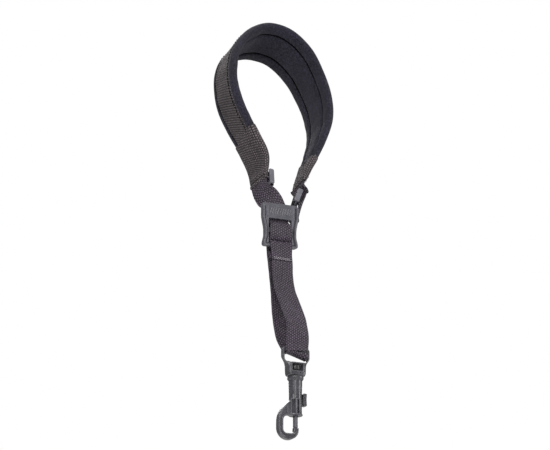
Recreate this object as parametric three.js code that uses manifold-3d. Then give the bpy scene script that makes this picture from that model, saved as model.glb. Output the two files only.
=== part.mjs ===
// A saxophone neck strap: a padded neck band, two short side straps that join behind an
// adjuster buckle, a drop loop of webbing below it, and a swivelling plastic bolt snap.
// Millimetres, +Z up. The origin is the point of the padded band that rests on the neck.
import * as THREE from 'three';
import { mergeVertices } from 'three/addons/utils/BufferGeometryUtils.js';
import Module from 'manifold-3d';

const wasm = await Module();
wasm.setup();

// ---------------------------------------------------------------- driving dimensions
const GAP = 0.3; // clearance between pieces that touch
const WEB_WIDTH = 25;
const WEB_THICKNESS = 1.4;

const LOOP_TILT = 20.3; // degrees that the neck loop leans back from the vertical
const NECK_REST = { across: 14, up: 196.5 }; // place of the origin in the loop's plane

// The neck band's centreline, from its left end over the top to its right end:
// across and up in the loop's plane, roll in degrees, half width, thickness.
const BAND = [
  [-18.2, 27, -10, 13, 4.4],
  [-15.6, 47.5, -5, 18.5, 5.6],
  [-21, 69, 7, 23.5, 7],
  [-31.3, 100, 11, 27.5, 8],
  [-36, 124, 9, 28.5, 8],
  [-35, 146, 6, 28.5, 8],
  [-29.3, 167.5, 2, 28.5, 8],
  [-18.5, 185, -1, 28.5, 8],
  [-3.5, 195.8, 2, 28.5, 8],
  [14, 200.5, 6, 28.5, 8],
  [34, 196, 6, 28.5, 8],
  [51.5, 178, 5, 28.5, 8],
  [61.5, 152, 2, 28.5, 8],
  [66, 125, 0, 28.5, 8],
  [63.8, 100, 0, 27, 8],
  [54, 76, 3, 22, 7],
  [41, 52, 4, 15.5, 6.6],
  [28.5, 29, 2, 13, 4.4],
];
const PADDED = { from: 2.2, to: 16 }; // the stations between which the band is padded
const LINING_THICKNESS = 1.4;
const EDGE_ROLL = 9; // how far the lining's rolled edge wraps over the outside
const HEM = { length: 4, wall: 1.1 };

const ADJUSTER = {
  topWidth: 39.8, waistWidth: 34.9, footWidth: 38.5, height: 45, depth: 5,
  topBar: 15.6, centreBarTop: 25.5, centreBarFoot: 30.5, footBar: 40.8, window: 26,
};
const SLIDER = { width: 32, height: 16, depth: 4.2, bar: 3, slot: 25.6, slotHeight: 3.2 };

const DROP_AT = { x: -3, y: -6, z: -1.5 }; // the adjuster's top centre, from the loop's foot
const DROP_AXIS = { x: 15, y: -6 }; // the vertical line that the snap hangs on, from the adjuster
const EYE = {
  barZ: -150.5, barRadius: 2.6, slot: 25.8, armWidth: 2.3, ringDepth: 4.2,
  baseTop: -163.5, baseFoot: -178, baseWidth: 19, baseDepth: 11.6, windowWidth: 11.6, windowTop: -165.8,
  windowFoot: -172.8,
};
const RIVET = { radius: 2.4, headRadius: 4.6, headTop: -168.2, headFoot: -172.4, tailTop: -185, tailFoot: -187 };
const BARREL = { top: -182.2, foot: -219.6, radius: 7, flangeRadius: 8.4, flangeTop: -178.4, bore: 3, boreTop: -184.6 };
const BOLT = { radius: 2.5, top: -206, tip: -231.6 };
const TAB = { reach: 12, inner: 7.5, top: -195.3, foot: -208.7, stemTop: -203, halfWidth: 3.6, stemHalf: 1.5 };
const HOOK = {
  depth: 7, left: -20.4, right: 3, outerRadius: 11.7, outerCentreZ: -233, band: 5.4, tip: -231.9,
  seatZ: -238.3, seatCorner: 4, shoulder: -203, throat: -219,
};
const BOLT_SPRING = { radius: 2.1, wire: 0.35, turns: 6, foot: -205.6, top: -187.4 };

// ---------------------------------------------------------------- finishes
const fabric = (color) => new THREE.MeshStandardMaterial({ color, roughness: 0.9, metalness: 0 });
const FINISH = {
  cover: fabric(0x2b2826),
  lining: fabric(0x1d2129),
  foam: fabric(0x3a3a3c),
  webbing: fabric(0x272428),
  thread: fabric(0x3d3a3c),
  plastic: new THREE.MeshStandardMaterial({ color: 0x3a3d41, roughness: 0.45, metalness: 0 }),
  steel: new THREE.MeshStandardMaterial({ color: 0x9a9da1, roughness: 0.3, metalness: 1 }),
};

// ---------------------------------------------------------------- geometry helpers
const radians = THREE.MathUtils.degToRad;
const V = (x, y, z) => new THREE.Vector3(x, y, z);
const TILT = radians(LOOP_TILT);
const TOWARDS_FRONT = V(0, -Math.cos(TILT), Math.sin(TILT)); // across the band, to its front edge
const loopPoint = (across, up) => V(across, up * Math.sin(TILT), up * Math.cos(TILT));

function signedVolume(geometry) {
  const position = geometry.attributes.position;
  const index = geometry.index.array;
  const corner = (k) => new THREE.Vector3().fromBufferAttribute(position, index[k]);
  let volume = 0;
  for (let k = 0; k < index.length; k += 3) {
    volume += corner(k).dot(corner(k + 1).cross(corner(k + 2))) / 6;
  }
  return volume;
}

// Only positions, shared between the triangles, with the faces pointing out.
function closed(geometry) {
  for (const name of ['normal', 'uv']) geometry.deleteAttribute(name);
  const merged = mergeVertices(geometry, 1e-3);
  if (signedVolume(merged) < 0) {
    const index = merged.index.array;
    for (let k = 0; k < index.length; k += 3) [index[k], index[k + 1]] = [index[k + 1], index[k]];
  }
  return merged;
}

// A closed body through rings of equal count, with flat ends cut to the section's outline.
function loft(rings, section) {
  const count = section.length;
  const positions = rings.flat().flatMap((p) => p.toArray());
  const indices = [];
  for (let r = 0; r + 1 < rings.length; r++) {
    for (let i = 0; i < count; i++) {
      const j = (i + 1) % count;
      const low = r * count;
      const high = low + count;
      indices.push(low + i, low + j, high + j, low + i, high + j, high + i);
    }
  }
  const last = (rings.length - 1) * count;
  for (const [a, b, c] of THREE.ShapeUtils.triangulateShape(section, [])) {
    indices.push(c, b, a, last + a, last + b, last + c);
  }
  const geometry = new THREE.BufferGeometry();
  geometry.setAttribute('position', new THREE.Float32BufferAttribute(positions, 3));
  geometry.setIndex(indices);
  return closed(geometry);
}

// Stations hold a point, the direction across the strip, its half width and its thickness.
function frameAlong(stations) {
  const spline = (key) => new THREE.CatmullRomCurve3(stations.map(key), false, 'catmullrom', 0.5);
  const line = new THREE.CatmullRomCurve3(stations.map((s) => s.point), false, 'centripetal');
  const across = spline((s) => s.across);
  const size = spline((s) => V(s.half, s.thickness, 0));
  return (at) => {
    const t = at / (stations.length - 1);
    const tangent = line.getTangent(t);
    const width = across.getPoint(t).projectOnPlane(tangent).normalize();
    const outward = new THREE.Vector3().crossVectors(width, tangent);
    const { x: half, y: thickness } = size.getPoint(t);
    return { point: line.getPoint(t), tangent, width, outward, half, thickness };
  };
}

// A strip between two stations; outline(half, thickness) gives its section.
function strip(stations, outline, steps, from = 0, to = stations.length - 1) {
  const frame = frameAlong(stations);
  const rings = [];
  let section;
  for (let k = 0; k <= steps; k++) {
    const f = frame(from + ((to - from) * k) / steps);
    section = outline(f.half, f.thickness);
    rings.push(section.map(({ x, y }) => f.point.clone()
      .addScaledVector(f.width, x)
      .addScaledVector(f.outward, y - f.thickness / 2)));
  }
  return loft(rings, section);
}

// A rectangle with cut corners, in the strip's own section plane.
function flatSection(left, right, low, high, cut) {
  return [
    [left + cut, low], [right - cut, low], [right, low + cut], [right, high - cut],
    [right - cut, high], [left + cut, high], [left, high - cut], [left, low + cut],
  ].map(([x, y]) => new THREE.Vector2(x, y));
}

const webSection = (half, thickness) => flatSection(-half, half, 0, thickness, 0.35);
const web = (x, y, z, across = V(1, 0, 0), half = WEB_WIDTH / 2) =>
  ({ point: V(x, y, z), across, half, thickness: WEB_THICKNESS });

// An outline in the XZ plane given a depth along Y, centred on y = 0.
function plate(shape, depth, curveSegments = 8) {
  const geometry = new THREE.ExtrudeGeometry(shape, { depth, bevelEnabled: false, curveSegments });
  return closed(geometry.rotateX(Math.PI / 2).translate(0, depth / 2, 0));
}

function box(left, right, front, back, foot, top) {
  return closed(new THREE.BoxGeometry(right - left, back - front, top - foot)
    .translate((left + right) / 2, (front + back) / 2, (foot + top) / 2));
}

// An upright cylinder between two heights.
function post(radius, foot, top, segments = 24) {
  return closed(new THREE.CylinderGeometry(radius, radius, top - foot, segments)
    .rotateX(Math.PI / 2).translate(0, 0, (foot + top) / 2));
}

function solid(geometry) {
  return new wasm.Manifold(new wasm.Mesh({
    numProp: 3,
    vertProperties: new Float32Array(geometry.attributes.position.array),
    triVerts: new Uint32Array(geometry.index.array),
  }));
}

function surface(body) {
  const mesh = body.getMesh();
  const geometry = new THREE.BufferGeometry();
  geometry.setAttribute('position', new THREE.Float32BufferAttribute(mesh.vertProperties, 3));
  geometry.setIndex([...mesh.triVerts]);
  return closed(geometry);
}

const joined = (first, ...others) => others.reduce((body, g) => body.add(solid(g)), solid(first));

function roundedRect(shape, left, right, foot, top, radius) {
  shape.moveTo(left + radius, foot);
  shape.lineTo(right - radius, foot).absarc(right - radius, foot + radius, radius, -Math.PI / 2, 0);
  shape.lineTo(right, top - radius).absarc(right - radius, top - radius, radius, 0, Math.PI / 2);
  shape.lineTo(left + radius, top).absarc(left + radius, top - radius, radius, Math.PI / 2, Math.PI);
  shape.lineTo(left, foot + radius).absarc(left + radius, foot + radius, radius, Math.PI, 1.5 * Math.PI);
  return shape;
}

// ---------------------------------------------------------------- assembly
const strap = new THREE.Group();
strap.position.copy(loopPoint(NECK_REST.across, NECK_REST.up)).negate();

function part(name, geometry, material, parent = strap) {
  const mesh = new THREE.Mesh(geometry, material);
  mesh.name = name;
  parent.add(mesh);
  return mesh;
}

// ---------------------------------------------------------------- neck band
const bandLine = new THREE.CatmullRomCurve3(
  BAND.map(([across, up]) => loopPoint(across, up)), false, 'centripetal');
const bandStations = BAND.map(([across, up, roll, half, thickness], k) => {
  const tangent = bandLine.getTangent(k / (BAND.length - 1));
  const outward = new THREE.Vector3().crossVectors(TOWARDS_FRONT, tangent);
  return {
    point: loopPoint(across, up),
    across: TOWARDS_FRONT.clone().multiplyScalar(Math.cos(radians(roll)))
      .addScaledVector(outward, Math.sin(radians(roll))),
    half, thickness,
  };
});
const bandEnd = bandStations.length - 1;
const bandFrame = frameAlong(bandStations);

// The lining: the inner face, and both edges rolled over on to the outside.
function liningSection(half, thickness) {
  const skin = LINING_THICKNESS;
  const side = [
    [half - EDGE_ROLL, thickness], [half - 2.5, thickness], [half - 0.6, thickness - 1.4],
    [half, thickness / 2], [half - 0.6, 1.4], [half - 2.5, 0],
  ];
  const inside = [
    [half - 3, skin], [half - skin, thickness / 2], [half - 3, thickness - skin],
    [half - EDGE_ROLL, thickness - skin],
  ];
  const mirrored = (points) => points.map(([x, y]) => [-x, y]).reverse();
  return [...side, ...mirrored(side), ...mirrored(inside), ...inside]
    .map(([x, y]) => new THREE.Vector2(x, y)).reverse();
}

const FOAM_GAP = 1;
const foamSection = (half, thickness) => flatSection(-half + 4.4, half - 4.4,
  LINING_THICKNESS + FOAM_GAP, thickness - LINING_THICKNESS - FOAM_GAP, 0.8);
const coverSection = (half, thickness) => flatSection(
  -half + EDGE_ROLL + GAP, half - EDGE_ROLL - GAP, thickness - LINING_THICKNESS, thickness, 0.3);
const sleeveSection = (half, thickness) => flatSection(-half, half, 0, thickness, 1.2);

const paddedFrom = PADDED.from;
const paddedTo = PADDED.to;
part('pad_lining', strip(bandStations, liningSection, 44, paddedFrom, paddedTo), FINISH.lining);
part('pad_foam', strip(bandStations, foamSection, 44, paddedFrom, paddedTo), FINISH.foam);
part('pad_cover', strip(bandStations, coverSection, 44, paddedFrom, paddedTo), FINISH.cover);

// A woven sleeve closes each end of the band, and a folded hem rims its mouth.
const SLEEVE_GAP = 0.02; // of a station
part('end_sleeve_left', strip(bandStations, sleeveSection, 10, 0, paddedFrom - SLEEVE_GAP), FINISH.cover);
part('end_sleeve_right', strip(bandStations, sleeveSection, 10, paddedTo + SLEEVE_GAP, bandEnd),
  FINISH.cover);

function hemRing() {
  const half = WEB_WIDTH / 2 + 0.4;
  const hole = WEB_THICKNESS / 2 + 0.4;
  const rim = roundedRect(new THREE.Shape(),
    -half - HEM.wall, half + HEM.wall, -hole - HEM.wall, hole + HEM.wall, 1);
  rim.holes.push(roundedRect(new THREE.Path(), -half, half, -hole, hole, 0.4));
  return plate(rim, HEM.length, 3);
}

// Placed with its X across the band, its Y along it and its Z facing out of the loop.
function placeOnBand(mesh, frame, along, lift = 0) {
  mesh.matrixAutoUpdate = false;
  mesh.matrix.makeBasis(frame.width, frame.tangent, frame.width.clone().cross(frame.tangent));
  mesh.matrix.setPosition(frame.point.clone()
    .addScaledVector(frame.tangent, along).addScaledVector(frame.outward, lift));
}
const leftEnd = bandFrame(0);
const rightEnd = bandFrame(bandEnd);
const hemStep = HEM.length / 2 + GAP;
placeOnBand(part('end_hem_left', hemRing(), FINISH.cover), leftEnd, -hemStep);
placeOnBand(part('end_hem_right', hemRing(), FINISH.cover), rightEnd, hemStep);

// ---------------------------------------------------------------- side straps
const JUNCTION_FOOT = -13; // how far the side straps reach down behind the adjuster
const backOfAdjuster = ADJUSTER.depth / 2 + 0.4 + WEB_THICKNESS / 2;
const LAYER = WEB_THICKNESS + 0.8;
const HEM_LENGTHWAYS = 3.4; // the strap starts inside the hem
const RIGHT_TWIST = V(-0.22, -0.88, 0.41); // across the right strap where its slider sits
const GATHERED = [11, 8.5, 7]; // half widths where the right strap is gathered behind the adjuster

function offBand(frame, along, lift) {
  const point = frame.point.clone()
    .addScaledVector(frame.tangent, along).addScaledVector(frame.outward, lift);
  return { point, across: frame.width, half: WEB_WIDTH / 2, thickness: WEB_THICKNESS };
}

// Webbing at a point of the loop's plane.
function webInLoop(across, up, direction) {
  return { ...web(0, 0, 0, direction), point: loopPoint(across, up) };
}

// Webbing at a point measured from the adjuster's top centre.
const webAtDrop = (x, y, z, direction, half) =>
  web(x + DROP_AT.x, y + DROP_AT.y, z + DROP_AT.z, direction, half);

part('side_strap_left', strip([
  offBand(leftEnd, -GAP - HEM.length + HEM_LENGTHWAYS, 0),
  offBand(leftEnd, -5.5, 0),
  webInLoop(-16.4, 13, V(0.3, -0.9, 0.25)),
  webAtDrop(-5.5, backOfAdjuster + 1.4, 2.5, V(0.97, -0.2, 0.1)),
  webAtDrop(-2.5, backOfAdjuster, -4, V(1, 0, 0)),
  webAtDrop(-1, backOfAdjuster, JUNCTION_FOOT),
], webSection, 20), FINISH.webbing);
part('side_strap_right', strip([
  offBand(rightEnd, GAP + HEM.length - HEM_LENGTHWAYS, 0),
  offBand(rightEnd, 4.4, 0),
  offBand(rightEnd, 6.8, 0.2),
  web(30.2, 8.8, 13.5, rightEnd.width.clone().add(RIGHT_TWIST)),
  web(27.4, 5.4, 1.9, RIGHT_TWIST),
  webAtDrop(25, 8.8, -5.4, RIGHT_TWIST, GATHERED[0]),
  webAtDrop(20.5, 10.2, -11, V(0.5, -0.7, -0.3), GATHERED[1]),
  webAtDrop(14, 8.6, -13, V(0.75, -0.35, -0.5), GATHERED[2]),
], webSection, 26), FINISH.webbing);

// ---------------------------------------------------------------- drop loop
const rearTop = backOfAdjuster + 2 * LAYER;
const REAR_TOP_Z = -9.5;
const LEG_FOOT_Z = -151.8; // where the loop's two legs end, just above the turn
const EYE_TURN = { radius: 5.2, z: -152.4, half: 12.2, across: V(0.96, 0, -0.28) }; // the webbing's turn under the eye's bar

const drop = new THREE.Group();
drop.position.set(DROP_AT.x, DROP_AT.y, DROP_AT.z);
strap.add(drop);
const TURN_FOOT_ANGLE = 12;

part('drop_strap_rear', strip([
  web(0, rearTop, REAR_TOP_Z),
  web(0, rearTop, JUNCTION_FOOT - 2),
  web(0.3, backOfAdjuster + 1.6, -26),
  web(1, backOfAdjuster + 2.4, -45),
  web(4.2, 4.2, -85),
  web(7, 1.4, -122),
  web(DROP_AXIS.x - 2, DROP_AXIS.y + EYE_TURN.radius + 0.1, EYE_TURN.z + 8, EYE_TURN.across, EYE_TURN.half),
  web(DROP_AXIS.x - 1.2, DROP_AXIS.y + EYE_TURN.radius, LEG_FOOT_Z, EYE_TURN.across, EYE_TURN.half),
], webSection, 26), FINISH.webbing, drop);

part('junction_bartack', box(-9, 9, rearTop + WEB_THICKNESS / 2 + GAP,
  rearTop + WEB_THICKNESS / 2 + GAP + 0.7, -13.5, -11.5), FINISH.thread, drop);

const STITCH_Z = -57;
const foldFront = -backOfAdjuster;
const footBarTop = -ADJUSTER.footBar;
part('strap_end_fold', strip([
  web(0.3, foldFront - 1.3, STITCH_Z - 2.5),
  web(0.2, foldFront - 0.5, -51),
  web(0.2, foldFront, footBarTop - 1.4),
  web(0.2, foldFront * 0.78, footBarTop + 0.9),
  web(0.2, 0, footBarTop + 1.5),
  web(0.2, -foldFront * 0.78, footBarTop + 0.9),
  web(0.2, -foldFront, footBarTop - 1.4),
  web(0.2, -foldFront + 0.1, -46.5),
  web(0.3, 0, -52.5),
  web(0.3, foldFront + 0.95, STITCH_Z - 0.5),
], webSection, 40), FINISH.webbing, drop);
part('fold_stitch', box(-10, 10.6, foldFront - 1.4 - WEB_THICKNESS / 2 - GAP - 0.6,
  foldFront - 1.4 - WEB_THICKNESS / 2 - GAP, STITCH_Z - 0.8, STITCH_Z + 0.8), FINISH.thread, drop);

part('drop_strap_front', strip([
  web(0.3, foldFront - 1.4, STITCH_Z - 3),
  web(0.7, -5.6, -77.3),
  web(1.8, -7.5, -91, V(0.98, 0.12, 0)),
  web(5.3, -10, -104, V(0.97, -0.2, -0.12)),
  web(10, -13, -121.6, V(0.93, -0.34, -0.1)),
  web(12.2, -14, -137, V(0.94, -0.28, -0.16)),
  web(DROP_AXIS.x - 0.8, DROP_AXIS.y - EYE_TURN.radius - 0.8, EYE_TURN.z + 5, EYE_TURN.across, EYE_TURN.half),
  web(DROP_AXIS.x - 0.3, DROP_AXIS.y - EYE_TURN.radius, LEG_FOOT_Z, EYE_TURN.across, EYE_TURN.half),
], webSection, 24), FINISH.webbing, drop);

function turnStations() {
  const stations = [];
  for (let angle = -TURN_FOOT_ANGLE; angle >= -180 + TURN_FOOT_ANGLE; angle -= 26) {
    const a = radians(angle);
    stations.push(web(DROP_AXIS.x, DROP_AXIS.y + EYE_TURN.radius * Math.cos(a),
      EYE_TURN.z + EYE_TURN.radius * Math.sin(a), EYE_TURN.across, EYE_TURN.half));
  }
  return stations;
}
part('strap_turn', strip(turnStations(), webSection, 12), FINISH.webbing, drop);

// ---------------------------------------------------------------- adjuster buckle
function adjusterShape() {
  const { topWidth, waistWidth, footWidth, height, topBar, window } = ADJUSTER;
  const shape = new THREE.Shape();
  const corner = 2.5;
  shape.moveTo(-topWidth / 2 + corner, 0);
  shape.lineTo(topWidth / 2 - corner, 0).quadraticCurveTo(topWidth / 2, 0, topWidth / 2, -corner);
  shape.lineTo(topWidth / 2 - 0.4, -topBar + 2);
  shape.quadraticCurveTo(waistWidth / 2, -topBar - 2, waistWidth / 2, -height * 0.62);
  shape.quadraticCurveTo(waistWidth / 2, -height * 0.8, footWidth / 2, -height + corner);
  shape.quadraticCurveTo(footWidth / 2, -height, footWidth / 2 - corner, -height);
  shape.lineTo(-footWidth / 2 + corner, -height);
  shape.quadraticCurveTo(-footWidth / 2, -height, -footWidth / 2, -height + corner);
  shape.quadraticCurveTo(-waistWidth / 2, -height * 0.8, -waistWidth / 2, -height * 0.62);
  shape.quadraticCurveTo(-waistWidth / 2, -topBar - 2, -topWidth / 2 + 0.4, -topBar + 2);
  shape.lineTo(-topWidth / 2, -corner).quadraticCurveTo(-topWidth / 2, 0, -topWidth / 2 + corner, 0);
  const opening = (foot, top) =>
    shape.holes.push(roundedRect(new THREE.Path(), -window / 2, window / 2, foot, top, 1));
  opening(-ADJUSTER.centreBarTop, -topBar);
  opening(-ADJUSTER.footBar, -ADJUSTER.centreBarFoot);
  return shape;
}
part('adjuster_frame', plate(adjusterShape(), ADJUSTER.depth, 6), FINISH.plastic, drop);

const weaveFront = -ADJUSTER.depth / 2 - 0.5 - WEB_THICKNESS / 2;
part('adjuster_weave', strip([
  web(0, 1.6, -17.8),
  web(0, -1.4, -20),
  web(0, weaveFront, -24.4),
  web(0, weaveFront, -30.6),
  web(0, -1.2, -33.6),
  web(0, 1.6, -35),
], webSection, 16), FINISH.webbing, drop);

// ---------------------------------------------------------------- side sliders
function sliderShape() {
  const { width, height, bar, slot, slotHeight } = SLIDER;
  const shape = roundedRect(new THREE.Shape(), -width / 2, width / 2, -height / 2, height / 2, 3);
  for (const side of [-1, 1]) {
    const middle = side * (bar / 2 + slotHeight / 2);
    shape.holes.push(roundedRect(new THREE.Path(), -slot / 2, slot / 2,
      middle - slotHeight / 2, middle + slotHeight / 2, 0.8));
  }
  return plate(shape, SLIDER.depth, 4);
}

// The slider lies against the inner side of the strap, and the strap's doubled end covers its inner face.
const SLIDER_LIFT = -(WEB_THICKNESS / 2 + HEM.wall + 0.4 + GAP + SLIDER.depth / 2 + 0.8);
function addSlider(name, frame) {
  const slider = part(`slider_${name}`, sliderShape(), FINISH.plastic);
  slider.matrixAutoUpdate = false;
  slider.matrix.makeBasis(frame.width, frame.outward.clone().negate(), frame.tangent);
  slider.matrix.setPosition(frame.point);
  const face = -SLIDER.depth / 2 - GAP - WEB_THICKNESS / 2;
  const reach = SLIDER.height / 2;
  const at = (offset, lift) => offBand(frame, offset, lift);
  part(`slider_web_${name}`, strip([
    at(-reach - 0.5, face - 0.1), at(-reach / 2, face - 0.4), at(0, face - 0.6),
    at(reach / 2, face - 0.4), at(reach + 0.5, face - 0.1),
  ], webSection, 18), FINISH.webbing);
}

// The band end's directions, carried to another point of the strap.
function sliderFrame(end, point, tangent) {
  const width = end.width.clone().projectOnPlane(tangent).normalize();
  return { point, tangent, width, outward: new THREE.Vector3().crossVectors(width, tangent) };
}
addSlider('left', sliderFrame(leftEnd, leftEnd.point.clone()
  .addScaledVector(leftEnd.tangent, -1.4).addScaledVector(leftEnd.outward, SLIDER_LIFT), leftEnd.tangent));
addSlider('right', sliderFrame({ width: RIGHT_TWIST }, V(22.3, 7.5, 4.6), loopPoint(-0.47, -0.883)));

// ---------------------------------------------------------------- swivel eye
const snap = new THREE.Group();
snap.position.set(DROP_AXIS.x, DROP_AXIS.y, 0);
drop.add(snap);

function eyeBody() {
  const { barZ, barRadius, slot, armWidth, baseTop, baseFoot, baseWidth } = EYE;
  const outer = slot / 2 + armWidth;
  const ring = new THREE.Shape();
  ring.moveTo(-outer, baseTop + 1).lineTo(-outer, barZ).absarc(-outer + barRadius, barZ, barRadius, Math.PI, Math.PI / 2, true);
  ring.lineTo(outer - barRadius, barZ + barRadius);
  ring.absarc(outer - barRadius, barZ, barRadius, Math.PI / 2, 0, true);
  ring.lineTo(outer, baseTop + 1).lineTo(baseWidth / 2, baseTop - 3).lineTo(-baseWidth / 2, baseTop - 3);
  ring.holes.push(roundedRect(new THREE.Path(), -slot / 2, slot / 2, baseTop, barZ - barRadius, 1.2));
  const base = roundedRect(new THREE.Shape(), -baseWidth / 2, baseWidth / 2, baseFoot, baseTop, 3);
  base.holes.push(roundedRect(new THREE.Path(), -EYE.windowWidth / 2, EYE.windowWidth / 2,
    EYE.windowFoot, EYE.windowTop, 1));
  const body = joined(plate(ring, EYE.ringDepth, 5), plate(base, EYE.baseDepth, 5));
  return surface(body.subtract(solid(post(RIVET.radius + 0.4, baseFoot - 1, EYE.windowFoot + 1))));
}
part('swivel_eye', eyeBody(), FINISH.plastic, snap);

// ---------------------------------------------------------------- bolt snap
function lathe(profile, segments = 24) {
  const points = profile.map(([radius, z]) => new THREE.Vector2(radius, z));
  return closed(new THREE.LatheGeometry(points, segments).rotateX(Math.PI / 2));
}

part('swivel_rivet', lathe([
  [0, RIVET.tailFoot], [BARREL.bore - GAP, RIVET.tailFoot], [BARREL.bore - GAP, RIVET.tailTop],
  [RIVET.radius, RIVET.tailTop], [RIVET.radius, RIVET.headFoot], [RIVET.headRadius, RIVET.headFoot],
  [RIVET.headRadius, RIVET.headTop - 1], [RIVET.headRadius - 1, RIVET.headTop], [0, RIVET.headTop],
]), FINISH.plastic, snap);

function hookShape() {
  const { left, right, outerRadius, outerCentreZ, band, tip, seatZ, seatCorner, shoulder, throat } = HOOK;
  const centre = (left + right) / 2;
  const mouthLeft = left + band;
  const mouthRight = right - band;
  const shape = new THREE.Shape();
  shape.moveTo(0, shoulder);
  shape.lineTo(-5, shoulder).bezierCurveTo(-12, shoulder - 5, left, throat + 3, left, throat - 7);
  shape.lineTo(left, outerCentreZ).absarc(centre, outerCentreZ, outerRadius, Math.PI, 2 * Math.PI);
  shape.lineTo(right, tip).lineTo(mouthRight, tip).lineTo(mouthRight, seatZ + seatCorner);
  shape.absarc(mouthRight - seatCorner, seatZ + seatCorner, seatCorner, 0, -Math.PI / 2, true);
  shape.lineTo(mouthLeft + seatCorner, seatZ);
  shape.absarc(mouthLeft + seatCorner, seatZ + seatCorner, seatCorner, 1.5 * Math.PI, Math.PI, true);
  shape.lineTo(mouthLeft, throat - 7).quadraticCurveTo(mouthLeft, throat, -5, throat).lineTo(0, throat);
  return shape;
}

function hookBody() {
  const barrel = lathe([
    [0, BARREL.foot], [BARREL.radius - 1, BARREL.foot], [BARREL.radius, BARREL.foot + 1.5],
    [BARREL.radius, BARREL.top], [BARREL.flangeRadius, BARREL.top],
    [BARREL.flangeRadius, BARREL.flangeTop], [0, BARREL.flangeTop],
  ]);
  let body = joined(barrel, plate(hookShape(), HOOK.depth, 6));
  const cuts = [
    post(BARREL.bore, BARREL.foot - 1, BARREL.boreTop, 20),
    post(RIVET.radius + GAP, BARREL.boreTop - 1, BARREL.flangeTop + 1, 20),
    box(0, BARREL.radius + 2, -TAB.stemHalf - GAP, TAB.stemHalf + GAP, TAB.foot - GAP, TAB.stemTop + 12),
  ];
  for (const cut of cuts) body = body.subtract(solid(cut));
  return surface(body);
}
part('hook_body', hookBody(), FINISH.plastic, snap);
part('bolt', post(BOLT.radius, BOLT.tip, BOLT.top, 20), FINISH.plastic, snap);

function tabBody() {
  const stem = box(BOLT.radius + GAP, TAB.inner + 1, -TAB.stemHalf, TAB.stemHalf, TAB.foot, TAB.stemTop);
  const outline = new THREE.Shape();
  outline.moveTo(TAB.inner, TAB.foot).lineTo(TAB.reach - 2, TAB.foot);
  outline.quadraticCurveTo(TAB.reach, TAB.foot, TAB.reach, TAB.foot + 3);
  outline.lineTo(TAB.reach, TAB.top - 3).quadraticCurveTo(TAB.reach, TAB.top, TAB.reach - 2, TAB.top);
  outline.lineTo(TAB.inner, TAB.top);
  return surface(joined(stem, plate(outline, 2 * TAB.halfWidth, 5)));
}
part('thumb_tab', tabBody(), FINISH.plastic, snap);

function springCoil() {
  const { radius, wire, turns, foot, top } = BOLT_SPRING;
  class Helix extends THREE.Curve {
    getPoint(t) {
      const angle = 2 * Math.PI * turns * t;
      return V(radius * Math.cos(angle), radius * Math.sin(angle), foot + wire + (top - foot - 2 * wire) * t);
    }
  }
  const section = new THREE.Shape(new THREE.Path().absarc(0, 0, wire, 0, 2 * Math.PI).getPoints(3));
  return closed(new THREE.ExtrudeGeometry(section, {
    steps: turns * 12, bevelEnabled: false, extrudePath: new Helix(),
  }));
}
part('bolt_spring', springCoil(), FINISH.steel, snap);

export default strap;
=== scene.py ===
"""A padded neck strap for a saxophone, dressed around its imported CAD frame.

Shapes are worked out in millimetres, in the frame that the CAD uses, and become metres in the meshes.
"""

import math

import bmesh
import bpy
import numpy as np
import openvdb
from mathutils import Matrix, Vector


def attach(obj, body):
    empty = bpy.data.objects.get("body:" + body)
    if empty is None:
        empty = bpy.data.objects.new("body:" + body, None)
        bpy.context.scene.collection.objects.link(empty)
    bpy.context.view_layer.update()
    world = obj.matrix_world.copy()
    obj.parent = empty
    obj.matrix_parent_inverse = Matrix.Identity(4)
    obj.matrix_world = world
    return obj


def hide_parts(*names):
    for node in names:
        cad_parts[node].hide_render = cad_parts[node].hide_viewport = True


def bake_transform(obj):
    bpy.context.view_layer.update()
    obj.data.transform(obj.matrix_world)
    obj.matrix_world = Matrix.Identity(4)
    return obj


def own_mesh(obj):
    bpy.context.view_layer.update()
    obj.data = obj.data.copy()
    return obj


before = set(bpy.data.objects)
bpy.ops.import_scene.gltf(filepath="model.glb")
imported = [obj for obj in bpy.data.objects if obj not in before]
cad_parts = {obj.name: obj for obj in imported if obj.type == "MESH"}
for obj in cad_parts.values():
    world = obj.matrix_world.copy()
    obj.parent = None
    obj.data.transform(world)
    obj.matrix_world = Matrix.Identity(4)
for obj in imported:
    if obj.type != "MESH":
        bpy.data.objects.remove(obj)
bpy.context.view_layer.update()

MM = 0.001
UV_PER_MM = 0.01

# ---------------------------------------------------------------- the strap's dimensions
TILT = math.radians(20.3)
NECK_REST = (14, 196.5)
WEB_HALF = 12.5
WEB_THICK = 1.4
DROP_FROM_LOOP = np.array([-3, -6, -1.5])
SNAP_FROM_DROP = np.array([15, -6, 0])

# The band's centre line from its left end over the top to its right end:
# across and up in the loop's plane, roll in degrees, half width, thickness.
BAND = [
    (-18.2, 27, -10, 13, 4.4), (-15.6, 47.5, -5, 18.5, 5.6), (-21, 69, 7, 23.5, 7),
    (-31.3, 100, 11, 27.5, 8), (-36, 124, 9, 28.5, 8), (-35, 146, 6, 28.5, 8),
    (-29.3, 167.5, 2, 28.5, 8), (-18.5, 185, -1, 28.5, 8), (-3.5, 195.8, 2, 28.5, 8),
    (14, 200.5, 6, 28.5, 8), (34, 196, 6, 28.5, 8), (51.5, 178, 5, 28.5, 8),
    (61.5, 152, 2, 28.5, 8), (66, 125, 0, 28.5, 8), (63.8, 100, 0, 27, 8),
    (54, 76, 3, 22, 7), (41, 52, 4, 15.5, 6.6), (28.5, 29, 2, 13, 4.4),
]
PADDED_FROM = 2.2
PADDED_TO = 16.0


# ---------------------------------------------------------------- curves
def vec(*values):
    return np.array(values, float)


def unit(v):
    return v / np.linalg.norm(v, axis=-1, keepdims=True)


def loop_plane(across, up):
    return vec(across, up * math.sin(TILT), up * math.cos(TILT))


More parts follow.
